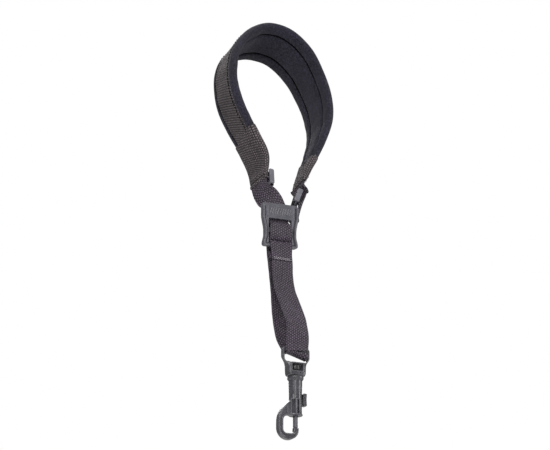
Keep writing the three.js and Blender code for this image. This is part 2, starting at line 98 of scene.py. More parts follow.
ORIGIN = loop_plane(*NECK_REST)
DROP = DROP_FROM_LOOP - ORIGIN
SNAP = DROP + SNAP_FROM_DROP
TOWARDS_FRONT = vec(0, -math.cos(TILT), math.sin(TILT))


def spline(points, at, centripetal=False):
    """A Catmull-Rom curve's point at a place counted in stations."""
    last = len(points) - 1
    at = min(max(at, 0), last)
    k = min(int(at), last - 1)
    t = at - k
    p1, p2 = points[k], points[k + 1]
    p0 = points[k - 1] if k > 0 else 2 * p1 - p2
    p3 = points[k + 2] if k + 2 <= last else 2 * p2 - p1
    if centripetal:
        d0, d1, d2 = (math.sqrt(np.linalg.norm(b - a)) for a, b in ((p0, p1), (p1, p2), (p2, p3)))
        m1 = ((p1 - p0) / d0 - (p2 - p0) / (d0 + d1) + (p2 - p1) / d1) * d1
        m2 = ((p2 - p1) / d1 - (p3 - p1) / (d1 + d2) + (p3 - p2) / d2) * d1
    else:
        m1, m2 = 0.5 * (p2 - p0), 0.5 * (p3 - p1)
    bend = 3 * (p2 - p1) - 2 * m1 - m2
    return p1 + m1 * t + bend * t**2 + (2 * (p1 - p2) + m1 + m2) * t**3


class Strip:
    """A strip along stations of (point, across, half width, thickness), sampled evenly."""

    def __init__(self, stations, count, start=0.0, end=None):
        end = len(stations) - 1 if end is None else end
        points = np.array([s[0] for s in stations])
        across = np.array([s[1] for s in stations])
        size = np.array([s[2:4] for s in stations], float)
        places = np.linspace(start, end, count)
        step = 1e-3
        self.point = np.array([spline(points, a, True) for a in places])
        ahead = np.array([spline(points, a + step, True) for a in places])
        behind = np.array([spline(points, a - step, True) for a in places])
        self.tangent = unit(ahead - behind)
        width = np.array([spline(across, a) for a in places])
        width -= (width * self.tangent).sum(1, keepdims=True) * self.tangent
        self.width = unit(width)
        self.outward = np.cross(self.width, self.tangent)
        sizes = np.array([spline(size, a) for a in places])
        self.half, self.thick = sizes[:, 0], sizes[:, 1]
        steps = np.linalg.norm(np.diff(self.point, axis=0), axis=1)
        self.along = np.concatenate([[0], np.cumsum(steps)])

    def place(self, x, y):
        """Points at x across and y from the inner face, for arrays with a row for each sample."""
        lift = y - self.thick[:, None] / 2
        return (self.point[:, None] + x[..., None] * self.width[:, None]
                + lift[..., None] * self.outward[:, None])


def smooth_outline(points, count):
    """A closed smooth outline through control points, as (count, 2) offsets."""
    looped = np.array(list(points) + [points[0]], float)
    places = np.linspace(0, len(points), count, endpoint=False)
    wrapped = np.concatenate([looped[-2:-1], looped, looped[1:2]])
    return np.array([spline(wrapped, a + 1) for a in places])


# ---------------------------------------------------------------- meshes
def finish_mesh(name, vertices, faces, uvs=None):
    mesh = bpy.data.meshes.new(name)
    mesh.from_pydata((np.asarray(vertices) * MM).tolist(), [], faces)
    if uvs is not None:
        layer = mesh.uv_layers.new(name="UVMap")
        layer.data.foreach_set("uv", np.asarray(uvs, np.float32).ravel())
    mesh.polygons.foreach_set("use_smooth", [True] * len(mesh.polygons))
    mesh.update()
    obj = bpy.data.objects.new(name, mesh)
    bpy.context.scene.collection.objects.link(obj)
    return obj


def grid_faces(rows, columns, offset=0):
    """Quads between the rows of a closed tube."""
    r = np.arange(rows - 1)[:, None] * columns
    c = np.arange(columns)[None]
    n = (c + 1) % columns
    quads = np.stack([r + c, r + n, r + columns + n, r + columns + c], -1)
    return quads.reshape(-1, 4) + offset


def tube(name, rings, along):
    """A closed body through rings of equal count, with its UVs in real lengths."""
    rows, columns = rings.shape[:2]
    quads = grid_faces(rows, columns)
    middle = rings[rows // 2]
    around = np.linalg.norm(np.roll(middle, -1, axis=0) - middle, axis=1)
    u = np.concatenate([[0], np.cumsum(around)]) * UV_PER_MM
    v = np.asarray(along) * UV_PER_MM
    r, c = np.divmod(np.arange(len(quads)), columns)
    uvs = np.stack([
        np.stack([u[c], v[r]], -1), np.stack([u[c + 1], v[r]], -1),
        np.stack([u[c + 1], v[r + 1]], -1), np.stack([u[c], v[r + 1]], -1)], 1).reshape(-1, 2)
    caps = [list(range(columns))[::-1], list(range((rows - 1) * columns, rows * columns))]
    cap_uvs = np.zeros((2 * columns, 2))
    obj = finish_mesh(name, rings.reshape(-1, 3), quads.tolist() + caps,
                      np.concatenate([uvs, cap_uvs]))
    face_outwards(obj)
    return obj


def face_outwards(obj):
    work = bmesh.new()
    work.from_mesh(obj.data)
    bmesh.ops.recalc_face_normals(work, faces=work.faces)
    work.to_mesh(obj.data)
    work.free()


def dress(obj, body, material, slot, *nodes):
    """Gives a piece its material, its body and the CAD nodes that it stands for, which are hidden. The slot
    argument is not used.
    """
    obj.data.materials.clear()
    obj.data.materials.append(material)
    if body:
        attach(obj, body)
    if nodes:
        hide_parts(*nodes)
    return obj


# ---------------------------------------------------------------- materials
class Nodes:
    """Short calls for building a material's node tree."""

    def __init__(self, name):
        self.material = bpy.data.materials.new(name)
        self.material.use_nodes = True
        self.tree = self.material.node_tree
        self.shader = self.tree.nodes["Principled BSDF"]

    def add(self, kind, **settings):
        node = self.tree.nodes.new("ShaderNode" + kind)
        for key, value in settings.items():
            setattr(node, key, value)
        return node

    def feed(self, socket, value):
        if isinstance(value, bpy.types.NodeSocket):
            self.tree.links.new(value, socket)
        else:
            socket.default_value = value

    def math(self, operation, a, b=0.0, c=0.0):
        node = self.add("Math", operation=operation)
        for socket, value in zip(node.inputs, (a, b, c)):
            self.feed(socket, value)
        return node.outputs[0]

    def ramp(self, value, low, high, to_low=0.0, to_high=1.0):
        node = self.add("MapRange")
        for key, given in zip(("Value", "From Min", "From Max", "To Min", "To Max"),
                              (value, low, high, to_low, to_high)):
            self.feed(node.inputs[key], given)
        return node.outputs[0]

    def blend(self, share, first, second):
        node = self.add("Mix", data_type="RGBA")
        self.feed(node.inputs[0], share)
        self.feed(node.inputs[6], first if isinstance(first, bpy.types.NodeSocket) else (*first, 1))
        self.feed(node.inputs[7], second if isinstance(second, bpy.types.NodeSocket) else (*second, 1))
        return node.outputs[2]

    def noise(self, scale, detail=3.0, where=None, roughness=0.6):
        node = self.add("TexNoise")
        self.feed(node.inputs["Scale"], scale)
        self.feed(node.inputs["Detail"], detail)
        self.feed(node.inputs["Roughness"], roughness)
        self.feed(node.inputs["Vector"], where or self.add("TexCoord").outputs["Object"])
        return node.outputs["Fac"]

    def bump(self, height, distance, strength=1.0, under=None):
        node = self.add("Bump")
        self.feed(node.inputs["Height"], height)
        self.feed(node.inputs["Distance"], distance)
        self.feed(node.inputs["Strength"], strength)
        if under is not None:
            self.feed(node.inputs["Normal"], under)
        return node.outputs[0]

    def set(self, **values):
        for key, value in values.items():
            self.feed(self.shader.inputs[key.replace("_", " ")], value)


def woven(name, dark, light, rib, pick, shift, depth, roughness=0.75, sheen=0.15, flecks=0.5):
    """Cloth of ribs and picks. Each rib's picks are shifted from its neighbour's, as in a twill. Its raised
    crowns are coloured lighter, a painted highlight.
    """
    n = Nodes(name)
    uv = n.add("SeparateXYZ")
    n.feed(uv.inputs[0], n.add("TexCoord").outputs["UV"])
    across = n.math("DIVIDE", uv.outputs[0], rib * UV_PER_MM)
    along = n.math("DIVIDE", uv.outputs[1], pick * UV_PER_MM)
    column = n.math("FLOOR", across)
    rib_height = n.math("SINE", n.math("MULTIPLY", n.math("FRACT", across), math.pi))
    shifted = n.math("FRACT", n.math("MULTIPLY_ADD", column, shift, along))
    pick_height = n.math("SINE", n.math("MULTIPLY", shifted, math.pi))
    height = n.math("MULTIPLY", n.math("POWER", rib_height, 0.6), n.math("POWER", pick_height, 0.8))
    fibre = n.noise(1800.0, 2.0)
    worn = n.noise(55.0, 4.0)
    patch = n.noise(14.0, 2.0)
    rough_height = n.math("MULTIPLY_ADD", fibre, 0.35, height)
    # painted highlight: the weave's raised crowns are coloured lighter, speckled by noise, as light caught
    # on the threads
    height = n.math("POWER", height, 2.2)
    share = n.math("MULTIPLY", height, n.ramp(n.noise(420.0, 2.0), 0.35, 0.65, 0.5, 1.15))
    share = n.math("ADD", share, n.math("MULTIPLY", n.ramp(worn, 0.4, 0.75), flecks * 0.12))
    share = n.math("MULTIPLY", share, n.ramp(patch, 0.3, 0.7, 0.75, 1.15))
    colour = n.blend(share, dark, light)
    n.set(Base_Color=colour, Roughness=n.ramp(fibre, 0.3, 0.7, roughness - 0.08, roughness + 0.1),
          Specular_IOR_Level=0.35, Sheen_Weight=sheen, Sheen_Roughness=0.45,
          Normal=n.bump(rough_height, depth * MM, 0.9))
    return n.material


def knitted(name, dark, light):
    """The lining's smooth jersey on foam: fine wales, a soft nap and faint rubbed patches."""
    n = Nodes(name)
    uv = n.add("SeparateXYZ")
    n.feed(uv.inputs[0], n.add("TexCoord").outputs["UV"])
    wale = n.math("SINE", n.math("MULTIPLY", uv.outputs[0], 2 * math.pi / (0.9 * UV_PER_MM)))
    course = n.math("SINE", n.math("MULTIPLY", uv.outputs[1], 2 * math.pi / (0.7 * UV_PER_MM)))
    knit = n.math("MULTIPLY", wale, course)
    fibre = n.noise(2400.0, 2.0)
    rubbed = n.noise(30.0, 4.0)
    height = n.math("MULTIPLY_ADD", fibre, 1.2, knit)
    nap = n.noise(650.0, 2.0)
    share = n.math("ADD", n.ramp(rubbed, 0.35, 0.75, 0.0, 0.45), n.ramp(nap, 0.4, 0.62, 0.0, 0.75))
    n.set(Base_Color=n.blend(share, dark, light), Roughness=n.ramp(rubbed, 0.3, 0.7, 0.78, 0.92),
          Specular_IOR_Level=0.2, Sheen_Weight=0.05, Sheen_Roughness=0.5,
          Normal=n.bump(height, 0.05 * MM, 0.8))
    return n.material


def moulded(name, dark, light, roughness, grain=0.02):
    """Moulded plastic with a fine grain, cloudy gloss and edges rubbed paler; its hollows are darkened with
    painted shade.
    """
    n = Nodes(name)
    fine = n.noise(1500.0, 3.0)
    cloud = n.noise(90.0, 4.0)
    scuff = n.noise(420.0, 5.0, roughness=0.75)
    edge = n.ramp(n.add("NewGeometry").outputs["Pointiness"], 0.505, 0.56)
    wear = n.math("MULTIPLY", edge, n.ramp(scuff, 0.35, 0.6))
    share = n.math("ADD", n.math("MULTIPLY", wear, 0.7), n.ramp(cloud, 0.35, 0.75, 0.0, 0.35))
    gloss = n.math("ADD", n.ramp(cloud, 0.3, 0.7, roughness - 0.06, roughness + 0.08),
                   n.math("MULTIPLY", n.ramp(scuff, 0.45, 0.7), 0.12))
    # painted shade: hollows, where pointiness is low, are darkened to 0.12 of the dark tone
    painted_hollow_shade = n.ramp(n.add("NewGeometry").outputs["Pointiness"], 0.43, 0.49)
    colour = n.blend(painted_hollow_shade, [c * 0.12 for c in dark], n.blend(share, dark, light))
    n.set(Base_Color=colour, Roughness=gloss, Specular_IOR_Level=0.5,
          Normal=n.bump(n.math("MULTIPLY_ADD", scuff, 0.5, fine), grain * MM, 0.7))
    return n.material


def spun(name, dark, light, sheen=0.3):
    """Sewing thread, its colour and bump mottled by a fine fibre noise."""
    n = Nodes(name)
    fibre = n.noise(3000.0, 2.0)
    n.set(Base_Color=n.blend(n.ramp(fibre, 0.35, 0.7), dark, light), Roughness=0.6,
          Sheen_Weight=sheen, Specular_IOR_Level=sheen, Normal=n.bump(fibre, 0.05 * MM, 0.8))
    return n.material


def drawn_wire(name):
    n = Nodes(name)
    streak = n.noise(900.0, 4.0)
    n.set(Base_Color=n.blend(streak, (0.42, 0.42, 0.43), (0.68, 0.68, 0.69)), Metallic=1.0,
          Roughness=n.ramp(streak, 0.3, 0.7, 0.22, 0.42), Normal=n.bump(streak, 0.01 * MM, 0.5))
    return n.material


def painted_floor(name):
    n = Nodes(name)
    mottle = n.noise(3.0, 4.0)
    n.set(Base_Color=n.blend(mottle, (0.86, 0.86, 0.86), (0.9, 0.9, 0.9)), Roughness=0.85,
          Normal=n.bump(n.noise(60.0, 3.0), 0.3 * MM, 0.3))
    return n.material


COVER = woven("cover_cloth", (0.002, 0.0013, 0.0017), (0.17, 0.138, 0.148), 2.4, 2.7, 0.45, 0.45,
              sheen=0.02)
LINING = knitted("lining_jersey", (0.0022, 0.002, 0.004), (0.026, 0.0245, 0.039))
WEBBING = woven("webbing_nylon", (0.003, 0.002, 0.0035), (0.125, 0.093, 0.137), 2.2, 2.6, 0.5, 0.4,
                roughness=0.55, sheen=0.04)
BUCKLE = moulded("buckle_plastic", (0.049, 0.049, 0.06), (0.15, 0.149, 0.168), 0.38)
SLIDER_PLASTIC = moulded("slider_plastic", (0.085, 0.08, 0.097), (0.19, 0.185, 0.21), 0.38)
SNAP_PLASTIC = moulded("snap_plastic", (0.028, 0.0265, 0.032), (0.18, 0.174, 0.197), 0.27)
SOCKET_PLASTIC = moulded("socket_plastic", (0.004, 0.004, 0.005), (0.03, 0.029, 0.033), 0.35)
THREAD = spun("sewing_thread", (0.07, 0.062, 0.072), (0.19, 0.175, 0.195))
PALE_THREAD = spun("pale_thread", (0.16, 0.145, 0.165), (0.34, 0.32, 0.345))
# near-black thread for the cover seam; in the sewn channels it also stands for painted shade in the grooves
DARK_THREAD_AND_GROOVE_SHADE = spun("dark_thread_and_groove_shade", (0.0006, 0.0006, 0.0008), (0.003, 0.0028, 0.0034), 0.02)
WIRE = drawn_wire("spring_wire")


# ---------------------------------------------------------------- stitches
STITCH_SIDES = 6

# Share of the stitch's length, height of its middle and girth, as shares of the lift and the radius.
STITCH_PROFILE = [
    (0.0, -0.8, 0.35), (0.12, 0.25, 0.8), (0.5, 1.0, 1.0), (0.88, 0.25, 0.8), (1.0, -0.8, 0.35),
]


def stitch_run(name, pairs, radius, lift):
    """One mesh of short stitches, each given as its two ends and the cloth's outward direction."""
    vertices, faces = [], []
    for start, end, out in pairs:
        line = unit(end - start)
        side = unit(np.cross(line, out))
        offset = len(vertices)
        for share, height, girth in STITCH_PROFILE:
            centre = start + (end - start) * share + out * height * lift
            for k in range(STITCH_SIDES):
                angle = 2 * math.pi * k / STITCH_SIDES
                around = math.cos(angle) * side + math.sin(angle) * out
                vertices.append(centre + radius * girth * around)
        faces += grid_faces(len(STITCH_PROFILE), STITCH_SIDES, offset).tolist()
        faces.append([offset + k for k in range(STITCH_SIDES)][::-1])
        last = offset + (len(STITCH_PROFILE) - 1) * STITCH_SIDES
        faces.append([last + k for k in range(STITCH_SIDES)])
    obj = finish_mesh(name, np.array(vertices), faces)
    face_outwards(obj)
    return obj


def along_strip(strip, x, y, pitch, length, outer=True, start=0.0, end=None):
    """Stitches lengthways on a strip; x and y hold a value for each of its samples."""
    line = strip.place(x[:, None], y[:, None])[:, 0]
    end = strip.along[-1] if end is None else end
    pairs = []
    for at in np.arange(start, end - length, pitch):
        ends = [np.array([np.interp(s, strip.along, line[:, k]) for k in range(3)])
                for s in (at, at + length)]
        out = np.array([np.interp(at, strip.along, strip.outward[:, k]) for k in range(3)])
        pairs.append((ends[0], ends[1], unit(out if outer else -out)))
    return pairs


# ---------------------------------------------------------------- neck band
def band_stations():
    points = np.array([loop_plane(b[0], b[1]) - ORIGIN for b in BAND])
    stations = []
    for k, (_, _, roll, half, thick) in enumerate(BAND):
        tangent = unit(spline(points, k + 1e-3, True) - spline(points, k - 1e-3, True))
        outward = np.cross(TOWARDS_FRONT, tangent)
        turn = math.radians(roll)
        across = TOWARDS_FRONT * math.cos(turn) + outward * math.sin(turn)
        stations.append((points[k], across, half, thick))
    return stations


BAND_STATIONS = band_stations()
GROOVE = 0.53  # place of each sewn channel, as a share of the band's half width
# height of the thick dark channel thread, which paints shade into the grooves
CHANNEL_SHADE_THREAD_HEIGHT = 1.15


def creases(along, x, seed, size):
    """Slow shallow waves in cloth that is bent over a soft filling."""
    random = np.random.default_rng(seed)
    total = np.zeros(np.broadcast(along, x).shape)
    for _ in range(7):
        length = random.uniform(9, 34)
        slant = random.uniform(-0.5, 0.5)
        phase = random.uniform(0, 2 * math.pi)
        total += np.sin(2 * math.pi * (along + slant * x) / length + phase) * length / 34
    return total * size / 3


def pad_outline(half, thick):
    """The lining's section from the outer seam, round both edges, with two sewn channels."""
    groove = GROOVE * half
    side = [
        (half - 9.7, thick - 2.8), (half - 9.3, thick - 1.1), (half - 8.5, thick - 0.2),
        (half - 6.6, thick + 0.45), (half - 4, thick + 0.1), (half - 1.7, thick - 1.3),
        (half - 0.35, thick / 2 + 1.3), (half, thick / 2), (half - 0.35, thick / 2 - 1.5),
        (half - 1.7, 1.1), (half - 3.9, 0.25), (groove + 3.1, -0.25), (groove + 1.35, 0.6),
        (groove, 2.6), (groove - 1.35, 0.6), (groove - 3.4, -0.45), (groove * 0.42, -0.85),
    ]
    return side + [(0, -0.85)] + [(-x, y) for x, y in reversed(side)]


def make_pad():
    strip = Strip(BAND_STATIONS, 860, PADDED_FROM, PADDED_TO)
    count = 108
    outlines = np.array([smooth_outline(pad_outline(half, thick), count)
                         for half, thick in zip(strip.half, strip.thick)])
    x, y = outlines[..., 0], outlines[..., 1]
    inner = np.clip(1 - y / 3, 0, 1)
    near_groove = np.exp(-((np.abs(x) - GROOVE * strip.half[:, None]) / 2.2) ** 2) * inner
    pucker = np.cos(2 * math.pi * strip.along / 3.4)[:, None]
    y = y + near_groove * 0.3 * pucker
    y = y + creases(strip.along[:, None], x, 3, 0.42) * inner
    near_seam = np.exp(-((strip.half[:, None] - 8.6 - np.abs(x)) / 1.6) ** 2) * (1 - inner)
    y = y - near_seam * 0.22 * (1 + pucker)
    pad = tube("pad", strip.place(x, y), strip.along)
    dress(pad, "neck_loop", LINING, "lining", "pad_lining", "pad_foam")

    cover_half = strip.half[:, None] - 8.9
    place = np.linspace(-1, 1, 41)[None]
    top_x = cover_half * place
    edge = np.clip((1 - np.abs(place)) * cover_half / 2.2, 0, 1)
    top_y = strip.thick[:, None] - 1.15 + 1.55 * np.sin(edge * math.pi / 2) ** 0.8
    top_y = top_y + creases(strip.along[:, None], top_x, 8, 0.35) * edge
    top_y = top_y - np.exp(-((1 - np.abs(place)) * cover_half / 1.8) ** 2) * 0.15 * pucker
    x = np.concatenate([top_x, top_x[:, ::-1]], 1)
    y = np.concatenate([top_y, np.repeat(strip.thick[:, None] - 2.4, 41, 1)], 1)
    cover = tube("pad_outer_cover", strip.place(x, y), strip.along)
    dress(cover, "neck_loop", COVER, "cover", "pad_cover")

    pairs = []
    for side in (-1, 1):
        pairs += along_strip(strip, side * (strip.half - 10.9), strip.thick + 0.35, 3.6, 2.7)
    dress(stitch_run("cover_seam_thread", pairs, 0.55, 0.35), "neck_loop", DARK_THREAD_AND_GROOVE_SHADE, "thread")
    pairs = []
    # partly real stitching, partly painted shade: a thick near-black thread lies in each channel to darken
    # the groove
    for side in (-1, 1):
        height = np.full(len(strip.half), CHANNEL_SHADE_THREAD_HEIGHT)
        pairs += along_strip(strip, side * GROOVE * strip.half, height, 3.4, 3.25, outer=False)
    dress(stitch_run("channel_thread_and_groove_shade", pairs, 0.75, 0.2), "neck_loop", DARK_THREAD_AND_GROOVE_SHADE, "thread")


def sleeve(side):
    """A woven sleeve sewn over the pad's end and drawn in to the webbing's width."""
    left = side == "left"
    last = len(BAND) - 1
    start, end = (0, PADDED_FROM + 0.14) if left else (last, PADDED_TO - 0.14)
    strip = Strip(BAND_STATIONS, 150, start, end)
    if not left:
        strip.outward = -strip.outward
    share = (strip.along / strip.along[-1])[:, None]
    half = strip.half[:, None] + 0.3 - 0.25 * share**4
    thick = strip.thick[:, None] + 0.4 + 0.5 * share**2
    corner = 1.9 + (thick / 2 - 1.9) * share**1.5
    place = np.linspace(-1, 1, 33)[None]
    curve = np.sign(place) * np.abs(np.sin(place * math.pi / 2))
    front_bump = 1.2 if left else 0.3
    face_x = curve * (half - 0.2) + front_bump * np.clip(curve, 0, 1) ** 2 * share**9
    into_corner = np.clip((np.abs(face_x) - (half - corner)) / corner, 0, 1)
    rounding = 1 - np.sqrt(np.clip(1 - into_corner**2, 0, 1))
    pleat = np.sin(face_x / half * 8.5 + 1.1) * 0.38 * np.sin(share * math.pi) ** 1.5
    pleat = pleat + creases(strip.along[:, None], face_x, 21 if left else 34, 0.3)
    crown = 0.5 * (1 - (face_x / half) ** 2)
    middle = strip.thick[:, None] / 2
    top = middle + thick / 2 - rounding * corner + crown + pleat * (1 - rounding)
    foot = middle - thick / 2 + rounding * corner - crown * 0.6 + pleat * 0.5 * (1 - rounding)
    x = np.concatenate([face_x, face_x[:, ::-1]], 1)
    y = np.concatenate([top, foot[:, ::-1]], 1)
    piece = tube(f"sleeve_{side}", strip.place(x, y), strip.along)
    dress(piece, "neck_loop", COVER, "cover", f"end_sleeve_{side}")
    return strip


def hem(side):
    """The sleeve's mouth, folded over and sewn."""
    left = side == "left"
    last = len(BAND) - 1
    base = Strip(BAND_STATIONS, 2, 0 if left else last, 1 if left else last - 1)
    point, tangent, width, outward = base.point[0], base.tangent[0], base.width[0], base.outward[0]
    away = -tangent if left else tangent
    profile = [(-0.4, 0.1), (0.1, 0.75), (1.0, 1.25), (2.2, 1.35), (3.4, 1.2), (4.15, 0.8), (4.4, 0.2),
               (4.2, -0.35), (3.6, -0.5), (1.0, -0.5)]
    outline = rounded_outline(WEB_HALF + 0.45, WEB_THICK / 2 + 0.45, 0.9, 10)
    shape = smooth_outline(profile, 40)
    rings = []
    for length, lift in shape:
        grown = outline + unit(outline * np.array([0.25, 1.0])) * lift
        rings.append(point + away * length + grown[:, :1] * width + grown[:, 1:] * outward)
    rings = np.array(rings + rings[:1])
    lengths = np.linalg.norm(np.diff(rings[:, 0], axis=0), axis=1)
    piece = ring_body(f"hem_{side}", rings[:-1], np.concatenate([[0], np.cumsum(lengths)]))
    dress(piece, "neck_loop", COVER, "cover", f"end_hem_{side}")
    pairs = []
    for face in (-1, 1):
        for at in np.arange(-11.5, 10, 3.0):
            for length, height in ((2.2, 0.55 + 1.35), (-4.2, 2.75)):
                level = outward * face * (WEB_THICK / 2 + height * 0.92)
                a = point + away * length + width * at + level
                pairs.append((a, a + width * 2.2, outward * face))
    dress(stitch_run(f"hem_thread_{side}", pairs, 0.26, 0.25), "neck_loop", THREAD, "thread")


def rounded_outline(half, rise, radius, steps):
    corners = [(1, 1), (-1, 1), (-1, -1), (1, -1)]
    points = []
    for k, (sx, sy) in enumerate(corners):
        for a in np.linspace(k * math.pi / 2, (k + 1) * math.pi / 2, steps):
            points.append((sx * (half - radius) + radius * math.cos(a),
                           sy * (rise - radius) + radius * math.sin(a)))
    dense = []
    for (x0, y0), (x1, y1) in zip(points, points[1:] + points[:1]):
        parts = max(1, int(math.hypot(x1 - x0, y1 - y0) / 0.8))
        dense += [(x0 + (x1 - x0) * k / parts, y0 + (y1 - y0) * k / parts) for k in range(parts)]
    return np.array(dense)


def ring_body(name, rings, along):
    """A body closed both ways round, like a fold of cloth round a strap."""
    rows, columns = rings.shape[:2]
    r = np.arange(rows)[:, None]
    c = np.arange(columns)[None]
    r1, c1 = (r + 1) % rows, (c + 1) % columns
    quads = np.stack(np.broadcast_arrays(
        r * columns + c, r * columns + c1, r1 * columns + c1, r1 * columns + c), -1).reshape(-1, 4)
    around = np.linalg.norm(np.roll(rings[0], -1, axis=0) - rings[0], axis=1)
    u = np.concatenate([[0], np.cumsum(around)]) * UV_PER_MM
    v = np.asarray(along) * UV_PER_MM
    row, column = np.divmod(np.arange(len(quads)), columns)
    uvs = np.stack([
        np.stack([u[column], v[row]], -1), np.stack([u[column + 1], v[row]], -1),
        np.stack([u[column + 1], v[row + 1]], -1), np.stack([u[column], v[row + 1]], -1)], 1).reshape(-1, 2)
    obj = finish_mesh(name, rings.reshape(-1, 3), quads.tolist(), uvs)
    face_outwards(obj)
    return obj


# ---------------------------------------------------------------- webbing
def webbing(name, stations, per_mm=1.6, seed=1):
    """A length of webbing with firm selvedges and a slightly uneven edge."""
    rough = Strip(stations, 40)
    strip = Strip(stations, max(24, int(rough.along[-1] * per_mm)))
    random = np.random.default_rng(seed)
    phases = random.uniform(0, 2 * math.pi, 3)
    waves = zip((1.9, 4.7, 11.0), phases)
    wobble = sum(np.sin(strip.along / length + phase) for length, phase in waves) * 0.06
    half = (strip.half + wobble)[:, None]
    place = np.linspace(-1, 1, 35)[None]
    x = np.sign(place) * np.abs(place) ** 0.85 * half
    inward = half - np.abs(x)
    rounding = np.clip(1 - inward / 0.7, 0, 1)
    body = 0.5 * strip.thick[:, None] * np.sqrt(np.clip(1 - rounding**2 * 0.92, 0.05, 1))
    selvedge = 0.16 * np.exp(-((inward - 1.1) / 0.55) ** 2)
    selvedge = selvedge - 0.1 * np.exp(-((inward - 2.4) / 0.5) ** 2)
    middle = strip.thick[:, None] / 2
    top = middle + body + selvedge
    foot = middle - body - selvedge
    around_x = np.concatenate([x, x[:, ::-1]], 1)
    around_y = np.concatenate([top, foot[:, ::-1]], 1)
    return tube(name, strip.place(around_x, around_y), strip.along)


def web_at(x, y, z, across=(1, 0, 0), half=WEB_HALF, base=DROP):
    return (vec(x, y, z) + base, vec(*across), half, WEB_THICK)


ADJUSTER_DEPTH = 5
BEHIND = ADJUSTER_DEPTH / 2 + 0.4 + WEB_THICK / 2
LAYER = WEB_THICK + 0.8
JUNCTION_FOOT = -13
REAR_TOP_Z = -9.5
EYE_BAR_Z = -150.5
TURN = {"radius": 5.2, "z": -152.4, "half": 12.2, "across": (0.96, 0, -0.28), "foot": 12}
LEG_FOOT_Z = -152.7
TURNED = (0.985, 0.12, 0)
STITCH_Z = -57
RIGHT_TWIST = vec(-0.22, -0.88, 0.41)


def end_frame(left):
    last = len(BAND) - 1
    strip = Strip(BAND_STATIONS, 2, *((0, 0.001) if left else (last - 0.001, last)))
    k = 0 if left else 1
    return strip.point[k], strip.tangent[k], strip.width[k], strip.outward[k]


def off_band(end, along, lift=0.0):
    point, tangent, width, outward = end
    return (point + tangent * along + outward * lift, width, WEB_HALF, WEB_THICK)


def in_loop(across, up, direction):
    return (loop_plane(across, up) - ORIGIN, np.asarray(direction, float), WEB_HALF, WEB_THICK)


def make_side_straps():
    left, right = end_frame(True), end_frame(False)
    piece = webbing("side_webbing_left", [
        off_band(left, -0.9), off_band(left, -5.5, 0.3), in_loop(-17.8, 13.4, (0.3, -0.9, 0.25)),
        web_at(-5.5, BEHIND + 1.4, 2.5, (0.97, -0.2, 0.1)), web_at(-2.5, BEHIND, -4),
        web_at(-1, BEHIND, JUNCTION_FOOT)], seed=5)
    dress(piece, "neck_loop", WEBBING, "webbing", "side_strap_left")
    piece = webbing("side_webbing_right", [
        off_band(right, 0.9), off_band(right, 4.4), off_band(right, 6.8, 0.2),
        web_at(30.2, 8.8, 13.5, right[2] + RIGHT_TWIST, base=-ORIGIN),
        web_at(27.4, 5.4, 1.9, RIGHT_TWIST, base=-ORIGIN), web_at(25, 8.8, -5.4, RIGHT_TWIST, 11),
        web_at(20.5, 10.2, -11, (0.5, -0.7, -0.3), 8.5),
        web_at(14, 8.6, -13, (0.75, -0.35, -0.5), 7)], seed=6)
    dress(piece, "neck_loop", WEBBING, "webbing", "side_strap_right")


